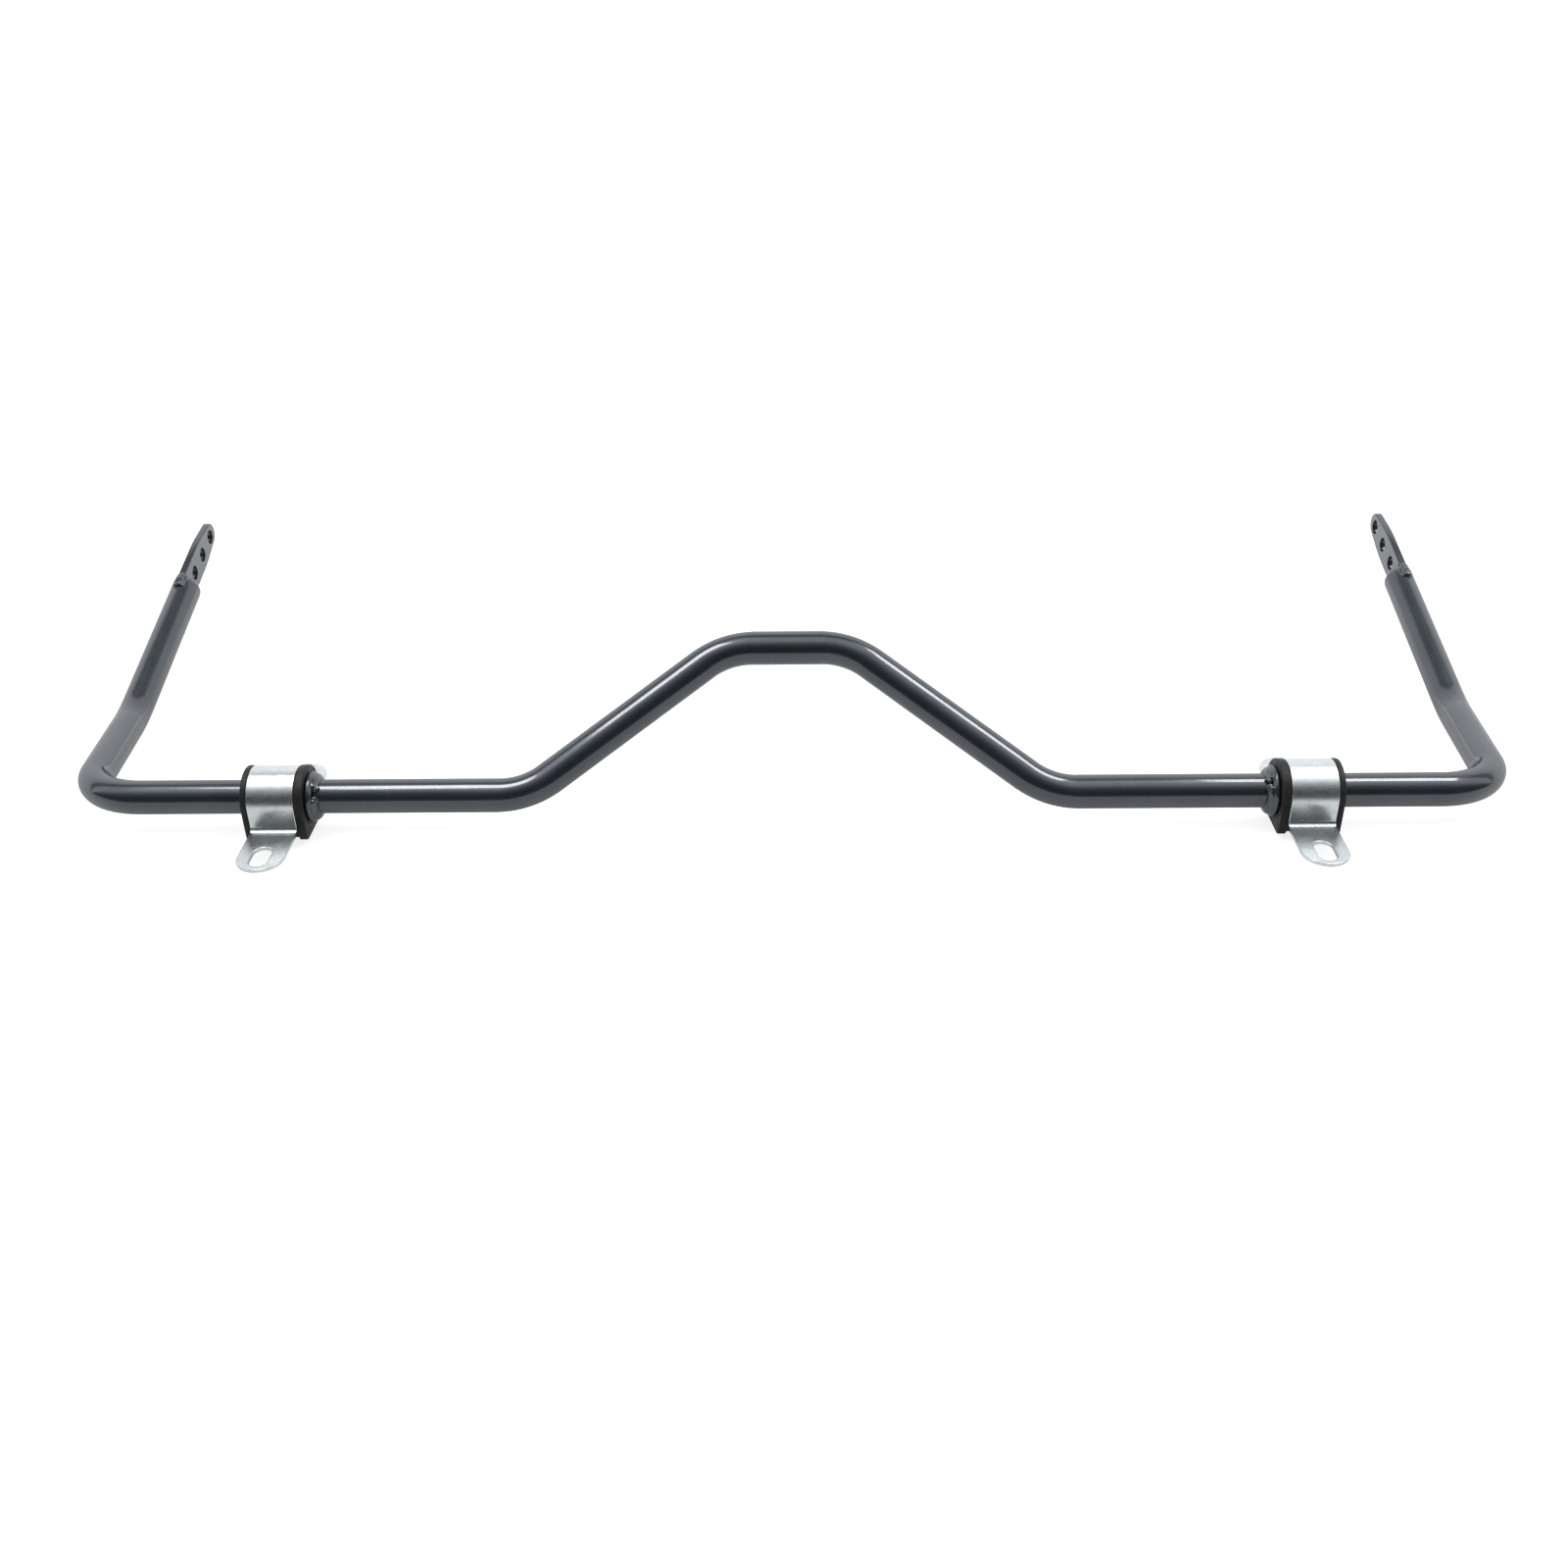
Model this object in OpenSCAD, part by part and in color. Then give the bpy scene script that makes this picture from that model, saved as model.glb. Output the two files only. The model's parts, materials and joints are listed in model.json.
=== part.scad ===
// Sway bar: one solid bent bar with a drilled blade welded in each end, two lock rings welded on it,
// and two split bushings, each held down by a slotted saddle bracket.
// +X runs along the straight of the bar, +Y towards the blades, +Z up.
// The origin is on the axis of the straight, half way between the two sides.

/* [Bar] */
// Diameter of the bar
bar_d = 25.4; // [24:0.1:27]
// Half the distance between the two corners, along the straight
corner_half = 524.7; // [500:1:600]
// How far each lower arm runs out sideways from its corner to its elbow
arm_splay = 24.3; // [0:0.1:40]
// How far each lower arm runs back from its corner to its elbow
lower_arm_back = 158; // [140:1:200]
// How far each lower arm drops from its corner to its elbow
lower_arm_drop = 17.8; // [0:0.1:40]
// Rise of the upper arms above level, in degrees
upper_arm_rise = 15.5; // [5:0.5:25]
// Bend radius at the corners
corner_r = 50.8; // [40:1:70]
// Bend radius at the elbows
elbow_r = 88.9; // [60:1:100]
// From each elbow along the upper arm to the end of the bar
bar_end_run = 173.5; // [165:0.5:180]
// Radius round the end of the bar
bar_nose_r = 8; // [4:0.5:10]

/* [Hump] */
// Half the distance between the two feet of the hump
hump_foot_half = 193.4; // [170:1:210]
// Half the distance between the two upper bends of the hump
hump_top_half = 46.5; // [40:0.5:60]
// How far back the top of the hump lies
hump_back = 75; // [40:1:90]
// How high the top of the hump stands
hump_rise = 82.7; // [50:1:100]
// Bend radius of the hump
hump_r = 63.5; // [50:1:80]

/* [Blades] */
// Thickness of the blades
blade_t = 6.35; // [5:0.05:8]
// Width of the blades
blade_w = 28.6; // [27:0.1:31]
// Diameter of the link holes
link_hole_d = 12.7; // [8:0.1:13]
// Distance between link holes
link_pitch = 26.7; // [24:0.1:30]
// From each elbow along the upper arm to the first link hole
link_run = 191.4; // [185:0.1:200]
// Depth of the slot in the end of the bar
slot_depth = 13; // [10:0.5:20]
// How far outward of the bar's axis the middle of each blade lies
blade_offset = 1.5; // [0:0.1:2]
// Radius round the tip of the blades
tip_r = 10; // [9:0.1:12]

/* [Lock rings] */
// Distance of the outer face of each ring from half way between them
ring_face_x = 356; // [330:1:370]
// How far right of the middle of the bar the rings, bushings and brackets lie
fittings_shift = 2.3; // [-5:0.1:5]
// Outside diameter of the rings
ring_d = 38.1; // [34:0.1:40]
// Width of the rings
ring_w = 4.8; // [4:0.1:6]
// Length of the ring weld along the bar
ring_weld_len = 3.4; // [2:0.1:5]

/* [Bushings] */
// Length of the bushings along the bar
bushing_len = 45.2; // [44:0.1:50]
// Radius of the bushing under the saddle bracket
bushing_core_r = 20.7; // [19:0.1:20.7]
// Radius of the end flanges
bushing_flange_r = 23.8; // [22:0.1:25]
// Width of each end flange
bushing_flange_w = 4.2; // [3:0.1:4.5]
// Depth of the flat base below the bar axis
bushing_base = 24; // [20:0.1:25]
// Running clearance round the bar
bushing_clearance = 0.05; // [0.02:0.01:0.1]

/* [Saddle brackets] */
// Thickness of the strap
strap_t = 2.8; // [2:0.1:3.5]
// Width of the strap
strap_w = 34.4; // [30:0.1:35]
// Inside radius of the strap
strap_r = 21; // [21:0.1:22]
// Height of the bar axis above the underside of the ears
ear_drop = 17.8; // [17:0.1:20]
// Distance of each slot from the bar axis
slot_reach = 58; // [50:0.5:60]
// Width of the slots
slot_w = 13.8; // [10:0.1:16]
// Length of the slots
slot_len = 24.5; // [20:0.5:30]
// Radius inside the bend between the strap and each ear
ear_bend_r = 4; // [1:0.1:5]

/* [Hidden] */
$fn = 96;

bar_r = bar_d / 2;
eps = 0.01;
fit_gap = 0.05;
overlap = 1;
bend_thinning = 0.03;

bar_grey = [0.34, 0.35, 0.37];
weld_grey = [0.30, 0.31, 0.33];
rubber_black = [0.10, 0.10, 0.11];
zinc = [0.78, 0.80, 0.82];

// Right half of the bar's centre line, from the middle of the hump to the end.
upper_arm_dir = [0, cos(upper_arm_rise), sin(upper_arm_rise)];
hump_middle = [0, hump_back, hump_rise];
hump_top = [hump_top_half, hump_back, hump_rise];
hump_foot = [hump_foot_half, 0, 0];
corner = [corner_half, 0, 0];
elbow = corner + [arm_splay, lower_arm_back, -lower_arm_drop];
last_bend_end = elbow + upper_arm_dir * setback(elbow_r, elbow - corner, upper_arm_dir);
bar_end = elbow + upper_arm_dir * bar_end_run;
route = [hump_middle, hump_top, hump_foot, corner, elbow, last_bend_end];
bend_radii = [0, hump_r, hump_r, corner_r, elbow_r, 0];

// Blade outline, measured along the upper arm from the elbow.
blade_start = bar_end_run - slot_depth + fit_gap;
last_hole = link_run + 2 * link_pitch;
tip_middle = last_hole + 4.2;
shoulder = link_run + 29;

// Bushing and bracket places, measured from half way between the rings.
bushing_gap = 0.4;
bushing_middle = ring_face_x + bushing_gap + bushing_len / 2;
strap_side_gap = 0.3;
strap_middle = ring_face_x + bushing_gap + bushing_len - bushing_flange_w - strap_side_gap - strap_w / 2;
bushing_corner_r = 3;
slit_t = 0.4;
ridge_radii = [15.4, 17.4, 19.4, 21.4];
ridge_w = 0.8;
ridge_depth = 0.4;

// The un-welded gap of each ring faces forward and up at this angle.
ring_weld_gap_at = 38;
ring_weld_gap = 24;

function unit(v) = v / norm(v);
function turn_angle(a, b) = acos(unit(a) * unit(b));
function setback(r, a, b) = r * tan(turn_angle(a, b) / 2);
function vertex_setback(i) =
  bend_radii[i] == 0 ? 0 : setback(bend_radii[i], route[i] - route[i - 1], route[i + 1] - route[i]);

// Turns a child drawn along +Z so that it runs from one point to another.
module place_along(from, to) {
  d = unit(to - from);
  translate(from) rotate([0, acos(d.z), atan2(d.y, d.x)]) children();
}

// A straight length of the bar, run on a little into the bends at its ends.
module straight(from, to) {
  along = unit(to - from) * overlap;
  place_along(from - along, to) cylinder(h = norm(to - from) + 2 * overlap, r = bar_r);
}

// A bend of the bar at a vertex of the route, from one direction into the next.
// It is a hair thinner than the straights that it runs into.
module bend(vertex, dir_in, dir_out, r) {
  normal = unit(cross(dir_in, dir_out));
  inward = cross(normal, dir_in);
  centre = vertex - dir_in * setback(r, dir_in, dir_out) + inward * r;
  translate(centre)
    rotate([atan2(dir_in.z, normal.z), asin(inward.z), atan2(-inward.y, -inward.x)])
      rotate_extrude(angle = turn_angle(dir_in, dir_out))
        translate([r, 0]) circle(r = bar_r - bend_thinning);
}

// Everything on the right of the flat top of the hump.
module half_bar() {
  for (i = [1 : len(route) - 3]) {
    leg = unit(route[i + 1] - route[i]);
    straight(route[i] + leg * vertex_setback(i), route[i + 1] - leg * vertex_setback(i + 1));
  }
  for (i = [1 : len(route) - 2])
    bend(route[i], unit(route[i] - route[i - 1]), unit(route[i + 1] - route[i]), bend_radii[i]);
  place_along(last_bend_end - upper_arm_dir * overlap, bar_end)
    nosed_rod(norm(bar_end - last_bend_end) + overlap);
}

// A rod with a rounded end, standing on the origin.
module nosed_rod(length) {
  rotate_extrude()
    union() {
      square([bar_r, length - bar_nose_r]);
      square([bar_r - bar_nose_r, length]);
      translate([bar_r - bar_nose_r, length - bar_nose_r])
        intersection() {
          circle(r = bar_nose_r);
          square(bar_nose_r);
        }
    }
}

// Draws a child laid out in the plane of the right arm: x along the upper arm from the elbow, y up, z out.
module in_arm_plane() {
  translate(elbow) rotate([upper_arm_rise, 0, 0]) rotate([90, 0, 90]) children();
}

// The same plane, moved out to the middle of the blade.
module in_blade_plane() {
  translate([blade_offset, 0, 0]) in_arm_plane() children();
}

module end_slot() {
  in_blade_plane()
    translate([bar_end_run - slot_depth, -blade_w, -blade_t / 2 - fit_gap])
      cube([slot_depth + 1, 2 * blade_w, blade_t + 2 * fit_gap]);
}

module torsion_bar() {
  top_end = hump_top - [vertex_setback(1), 0, 0];
  color(bar_grey)
    union() {
      straight([-top_end.x, top_end.y, top_end.z], top_end);
      for (side = [0, 1])
        mirror([side, 0, 0])
          difference() {
            half_bar();
            end_slot();
          }
    }
}

// Point where the tapered edge of the blade meets the round tip.
function tip_tangent() =
  let (
    run = tip_middle - shoulder,
    drop = blade_w / 2,
    slope = atan2(drop, run) - asin(tip_r / norm([run, drop]))
  )
  [tip_middle + tip_r * sin(slope), tip_r * cos(slope)];

module blade_outline() {
  tangent = tip_tangent();
  difference() {
    union() {
      translate([blade_start, -blade_w / 2]) square([shoulder - blade_start, blade_w]);
      polygon([
        [shoulder - eps, -blade_w / 2], [tangent.x, -tangent.y],
        [tangent.x, tangent.y], [shoulder - eps, blade_w / 2]
      ]);
      translate([tip_middle, 0]) circle(r = tip_r);
    }
    for (i = [0 : 2])
      translate([link_run + i * link_pitch, 0]) circle(d = link_hole_d);
  }
}

module end_blade() {
  color(bar_grey) in_blade_plane() linear_extrude(blade_t, center = true) blade_outline();
}

// One weld on the upper (+1) or lower (-1) edge of the blade: a row of puddles on each side and one at the end.
module blade_weld(edge) {
  puddle_r = 3.6;
  puddle_step = 3.6;
  puddle_count = 5;
  first = bar_end_run - slot_depth + 1;
  color(weld_grey)
    difference() {
      in_blade_plane()
        union() {
          for (i = [0 : puddle_count - 1], side = [-1, 1])
            translate([first + i * puddle_step, edge * (bar_r - 1), side * (blade_t / 2 + 0.6)])
              sphere(r = puddle_r);
          translate([first - 2.4, edge * (bar_r - 1), 0]) sphere(r = puddle_r);
        }
      in_arm_plane() rotate([0, 90, 0]) nosed_rod(bar_end_run);
      in_blade_plane()
        translate([first - 1, -blade_w / 2, -blade_t / 2])
          cube([2 * slot_depth, blade_w, blade_t]);
    }
}

// Turns a child drawn round +Z so that it lies round the bar, its +Z pointing to the middle of the bar
// and its zero at the outer face of the right ring. Its +X points to the front.
module round_bar_at_ring() {
  translate([ring_face_x, 0, 0]) rotate([0, -90, 0]) rotate([0, 0, -90]) children();
}

module lock_ring() {
  edge_r = 1.6;
  bevel = 2.2;
  outer = ring_d / 2;
  bore = bar_r + fit_gap;
  color(bar_grey)
    round_bar_at_ring()
      rotate_extrude()
        union() {
          polygon([
            [bore, 0], [outer - edge_r, 0], [outer - edge_r, edge_r], [outer, edge_r],
            [outer, ring_w - bevel], [outer - bevel, ring_w], [bore, ring_w]
          ]);
          translate([outer - edge_r, edge_r])
            intersection() {
              circle(r = edge_r);
              translate([0, -edge_r]) square(edge_r);
            }
        }
}

// One of the two weld passes behind the ring, starting at the given angle from the front.
module ring_weld(start) {
  sweep = 180 - ring_weld_gap;
  bead_top = ring_d / 2 - 1.4;
  crater_r = 3;
  color(weld_grey)
    difference() {
      round_bar_at_ring()
        union() {
          rotate([0, 0, start])
            rotate_extrude(angle = sweep)
              polygon([[bar_r - 1, ring_w], [bead_top, ring_w], [bar_r - 1, ring_w + ring_weld_len + 0.6]]);
          for (a = [start + 2, start + sweep - 2])
            rotate([0, 0, a]) translate([bar_r + 1.2, 0, ring_w + 0.4]) sphere(r = crater_r);
        }
      round_bar_at_ring() cylinder(h = 30, r = bar_r);
      round_bar_at_ring() cylinder(h = ring_w, r = ring_d);
    }
}

// Cross-section of the bushing: round over the bar, with flat sides down to a flat base.
module bushing_outline(r) {
  inset = r - bushing_corner_r;
  corner_z = -(bushing_base - bushing_corner_r);
  union() {
    intersection() {
      circle(r = r);
      translate([-2 * r, corner_z]) square(4 * r);
    }
    translate([-r, corner_z]) square([2 * r, -corner_z]);
    translate([-inset, -bushing_base]) square([2 * inset, bushing_base]);
    for (side = [-1, 1])
      translate([side * inset, corner_z]) circle(r = bushing_corner_r);
  }
}

// The bushing lies along X with its middle at the origin and its slit to the front.
module bushing() {
  bore_r = bar_r + bushing_clearance;
  color(rubber_black)
    difference() {
      rotate([90, 0, 90])
        union() {
          linear_extrude(bushing_len - 2 * bushing_flange_w, center = true) bushing_outline(bushing_core_r);
          for (side = [-1, 1])
            translate([0, 0, side * (bushing_len - bushing_flange_w) / 2])
              linear_extrude(bushing_flange_w, center = true) bushing_outline(bushing_flange_r);
        }
      rotate([0, 90, 0]) cylinder(h = bushing_len + 2, r = bore_r, center = true);
      translate([-bushing_len, -2 * bushing_flange_r, -slit_t / 2])
        cube([2 * bushing_len, 2 * bushing_flange_r, slit_t]);
      for (side = [-1, 1], r = ridge_radii)
        translate([side * bushing_len / 2, 0, 0])
          rotate([0, 90, 0])
            rotate_extrude()
              translate([r, -ridge_depth]) square([ridge_w, 2 * ridge_depth]);
    }
}

// Cross-section of the strap: an arch with straight legs and a bend at the foot of each.
module strap_outline() {
  outer = strap_r + strap_t;
  leg = ear_drop - strap_t - ear_bend_r;
  difference() {
    union() {
      circle(r = outer);
      translate([-outer, -leg]) square([2 * outer, leg]);
    }
    circle(r = strap_r);
    translate([-strap_r, -ear_drop]) square([2 * strap_r, ear_drop]);
    translate([-outer - 1, -ear_drop - outer]) square([2 * outer + 2, ear_drop + outer - leg]);
  }
  for (side = [0, 1])
    mirror([side, 0])
      translate([outer + ear_bend_r, -leg])
        intersection() {
          difference() {
            circle(r = ear_bend_r + strap_t);
            circle(r = ear_bend_r);
          }
          translate([-ear_bend_r - strap_t, -ear_bend_r - strap_t]) square(ear_bend_r + strap_t);
        }
}

// Plan of one ear: straight sides, a round end and a slot along Y.
module ear_outline() {
  ear_start = strap_r + strap_t + ear_bend_r;
  slot_r = slot_w / 2;
  difference() {
    union() {
      translate([-strap_w / 2, ear_start]) square([strap_w, slot_reach - ear_start]);
      translate([0, slot_reach]) circle(d = strap_w);
    }
    for (end = [-1, 1])
      translate([0, slot_reach + end * (slot_len / 2 - slot_r)]) circle(r = slot_r);
    translate([-slot_r, slot_reach - slot_len / 2 + slot_r]) square([slot_w, slot_len - slot_w]);
  }
}

module saddle_bracket() {
  color(zinc)
    union() {
      rotate([90, 0, 90]) linear_extrude(strap_w, center = true) strap_outline();
      for (side = [0, 1])
        mirror([0, side, 0])
          translate([0, 0, -ear_drop]) linear_extrude(strap_t) ear_outline();
    }
}

// Left-hand pieces are mirror images; the bushing is the same piece turned end for end.
module on_left() {
  mirror([1, 0, 0]) children();
}

// Rings, bushings and brackets lie a little to the right of the middle of the bar.
module fitting() {
  translate([fittings_shift, 0, 0]) children();
}

torsion_bar();
on_left() end_blade();  // left_end_blade
end_blade();  // right_end_blade
on_left() blade_weld(1);  // left_upper_blade_weld
blade_weld(1);  // right_upper_blade_weld
on_left() blade_weld(-1);  // left_lower_blade_weld
blade_weld(-1);  // right_lower_blade_weld
fitting() on_left() lock_ring();  // left_lock_ring
fitting() lock_ring();  // right_lock_ring
fitting() on_left() ring_weld(ring_weld_gap_at + ring_weld_gap / 2);  // left_upper_ring_weld
fitting() ring_weld(ring_weld_gap_at + ring_weld_gap / 2);  // right_upper_ring_weld
fitting() on_left() ring_weld(ring_weld_gap_at + ring_weld_gap / 2 + 180);  // left_lower_ring_weld
fitting() ring_weld(ring_weld_gap_at + ring_weld_gap / 2 + 180);  // right_lower_ring_weld
fitting() translate([-bushing_middle, 0, 0]) rotate([0, 0, 180]) bushing();  // left_bushing
fitting() translate([bushing_middle, 0, 0]) bushing();  // right_bushing
fitting() translate([-strap_middle, 0, 0]) saddle_bracket();  // left_saddle_bracket
fitting() translate([strap_middle, 0, 0]) saddle_bracket();  // right_saddle_bracket
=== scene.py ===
"""Looks for the sway bar: swept bar, rounded blades, weld beads, moulded bushings and zinc-plated brackets.

Shapes are worked out in millimetres and scaled to metres as each mesh is made. A piece is drawn for the
right side and mirrored for the left.
"""

import json
import math

import bmesh
import bpy
from mathutils import Matrix, Vector, noise


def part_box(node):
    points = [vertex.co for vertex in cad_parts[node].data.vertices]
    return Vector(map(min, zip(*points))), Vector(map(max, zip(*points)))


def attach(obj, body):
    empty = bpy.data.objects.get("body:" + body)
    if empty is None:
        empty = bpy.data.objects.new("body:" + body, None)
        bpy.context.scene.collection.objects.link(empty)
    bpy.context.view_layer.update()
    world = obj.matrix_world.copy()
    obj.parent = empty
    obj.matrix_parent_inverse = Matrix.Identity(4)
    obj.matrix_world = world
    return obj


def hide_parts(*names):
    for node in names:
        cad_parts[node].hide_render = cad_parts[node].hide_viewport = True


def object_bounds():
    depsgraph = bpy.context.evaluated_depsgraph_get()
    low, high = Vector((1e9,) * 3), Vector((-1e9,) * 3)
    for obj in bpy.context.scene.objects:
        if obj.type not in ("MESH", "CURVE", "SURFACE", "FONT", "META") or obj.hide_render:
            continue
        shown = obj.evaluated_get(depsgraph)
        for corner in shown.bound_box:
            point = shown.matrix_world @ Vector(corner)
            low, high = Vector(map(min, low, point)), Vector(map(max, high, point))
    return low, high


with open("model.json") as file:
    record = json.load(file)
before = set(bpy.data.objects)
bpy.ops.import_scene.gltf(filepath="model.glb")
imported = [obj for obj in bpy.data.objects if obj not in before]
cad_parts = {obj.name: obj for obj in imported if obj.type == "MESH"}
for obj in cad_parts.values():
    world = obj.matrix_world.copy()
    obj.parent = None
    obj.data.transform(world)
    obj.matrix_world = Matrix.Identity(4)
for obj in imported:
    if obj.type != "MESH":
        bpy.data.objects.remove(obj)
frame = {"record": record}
cad_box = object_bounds()

MM = 0.001
SIDES = {"left": -1, "right": 1}
SIDEWAYS = Vector((1, 0, 0))


# ---------------------------------------------------------------- sizes

mounts = {mount["name"]: mount for mount in frame["record"]["mounts"]}


def mount_at(name):
    """A mount's position, in millimetres."""
    return Vector(mounts[name]["pos_m"]) / MM


def box_mm(node):
    """Lowest and highest corner of a CAD node, in millimetres."""
    low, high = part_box(node)
    return low / MM, high / MM


# Bar
BAR_R = 12.7
CORNER_BEND_R = 50.8
ELBOW_BEND_R = 88.9
HUMP_BEND_R = 63.5
ARM_RISE = math.radians(15.5)
BAR_END_RUN = 173.5
NOSE_R = 8.0
SLOT_DEPTH = 13.0
SLOT_GAP = 0.05

# Blades
BLADE_T = 6.35
BLADE_W = 28.6
LINK_RUN = 191.4
BLADE_OFFSET = 1.5
LINK_HOLE_R = mounts["right_link_hole_inner"]["dims"]["r_mm"]
LINK_PITCH = (mount_at("right_link_hole_outer") - mount_at("right_link_hole_inner")).length / 2
TIP_R = 10.0

# Centre line of the right half of the bar
ARM_DIR = Vector((0, math.cos(ARM_RISE), math.sin(ARM_RISE)))
ARM_UP = Vector((0, -math.sin(ARM_RISE), math.cos(ARM_RISE)))
link_hole = mount_at("right_link_hole_inner")
ARM_X = box_mm("right_end_blade")[0].x + BLADE_T / 2 - BLADE_OFFSET
ELBOW = Vector((ARM_X, link_hole.y, link_hole.z)) - ARM_DIR * LINK_RUN
CORNER = Vector((524.7, 0, 0))
HUMP_FOOT = Vector((193.4, 0, 0))
HUMP_TOP = Vector((46.5, 75, box_mm("torsion_bar")[1].z - BAR_R))
BAR_END = ELBOW + ARM_DIR * BAR_END_RUN


def reach_mm(node):
    """Nearest and furthest distance of a CAD node from the middle of the bar, in millimetres."""
    low, high = box_mm(node)
    return sorted((abs(low.x), abs(high.x)))


# Lock rings
RING_W = reach_mm("right_lock_ring")[1] - reach_mm("right_lock_ring")[0]
RING_R = box_mm("right_lock_ring")[1].z
RING_EDGE_R = 1.6
RING_WELD_LEN = 3.9
# Angle above the front, and width in degrees, of the gap between the two passes of each ring weld
RING_WELD_GAPS = {"left": (37, 26), "right": (52, 14)}

# Bushings
BUSHING_LEN = reach_mm("right_bushing")[1] - reach_mm("right_bushing")[0]
BUSHING_BASE = -box_mm("right_bushing")[0].z
BUSHING_BORE_R = 12.75
BUSHING_CORE_R = 20.7
BUSHING_FLANGE_R = box_mm("right_bushing")[1].z
BUSHING_OUTER_FLANGE_W = 4.2
BUSHING_INNER_FLANGE_W = 5.8
BUSHING_CORNER_R = 3.0
SLIT_HALF = 0.2

# Saddle brackets
STRAP_T = 2.8
STRAP_W = reach_mm("right_saddle_bracket")[1] - reach_mm("right_saddle_bracket")[0]
STRAP_R = 21.0
EAR_DROP = -mount_at("right_bracket_slots").z
EAR_BEND_R = 4.0
SLOT_REACH = mounts["right_bracket_slots"]["dims"]["spacing_y_mm"] / 2
SLOT_R = mounts["right_bracket_slots"]["dims"]["hole_r_mm"]
SLOT_LEN = mounts["right_bracket_slots"]["dims"]["slot_length_mm"]


# ---------------------------------------------------------------- mesh tools

def unit(v):
    return v / v.length


def shade(bm, sharp_deg):
    """Turns faces outward and shades them smooth, with creases only at sharp edges."""
    bmesh.ops.remove_doubles(bm, verts=bm.verts, dist=1e-6)
    bmesh.ops.recalc_face_normals(bm, faces=bm.faces)
    for face in bm.faces:
        face.smooth = True
    for edge in bm.edges:
        edge.smooth = len(edge.link_faces) == 2 and edge.calc_face_angle(0) < math.radians(sharp_deg)


def object_from_bmesh(name, bm, side=1, sharp_deg=40):
    """Makes an object from a bmesh drawn in millimetres on the right side."""
    for vert in bm.verts:
        vert.co = Vector((vert.co.x * side, vert.co.y, vert.co.z)) * MM
    shade(bm, sharp_deg)
    mesh = bpy.data.meshes.new(name)
    bm.to_mesh(mesh)
    bm.free()
    obj = bpy.data.objects.new(name, mesh)
    bpy.context.scene.collection.objects.link(obj)
    return obj


def loft(rings, closed=False):
    """A bmesh skin over rings with equal numbers of points, capped unless the last joins the first."""
    bm = bmesh.new()
    rows = [[bm.verts.new(p) for p in ring] for ring in rings]
    count = len(rows[0])
    pairs = list(zip(rows, rows[1:]))
    if closed:
        pairs.append((rows[-1], rows[0]))
    for a, b in pairs:
        for j in range(count):
            k = (j + 1) % count
            bm.faces.new((a[j], a[k], b[k], b[j]))
    if not closed:
        bm.faces.new(rows[0][::-1])
        bm.faces.new(rows[-1])
    return bm


def bake_modifiers(obj):
    """Puts an object's modifiers into its mesh."""
    graph = bpy.context.evaluated_depsgraph_get()
    baked = bpy.data.meshes.new_from_object(obj.evaluated_get(graph))
    old = obj.data
    obj.modifiers.clear()
    obj.data = baked
    bpy.data.meshes.remove(old)


def cut(obj, cutter):
    """Cuts one closed object out of another, and removes the cutter."""
    boolean = obj.modifiers.new("cut", "BOOLEAN")
    boolean.operation = "DIFFERENCE"
    boolean.solver = "EXACT"
    boolean.object = cutter
    bake_modifiers(obj)
    bpy.data.objects.remove(cutter)


def keep_piece(obj, body, slot, *nodes):
    """Gives a piece its material, hangs it on the body it rides on, and hides the CAD nodes it stands for.
    """
    obj.data.materials.clear()
    obj.data.materials.append(MATERIALS[slot])
    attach(obj, body)
    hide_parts(*nodes)


def blade_point(run, up, out):
    """A point at the right blade, by its run along the arm, height over it and distance out."""
    return ELBOW + ARM_DIR * run + ARM_UP * up + SIDEWAYS * (BLADE_OFFSET + out)


# ---------------------------------------------------------------- materials

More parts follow.
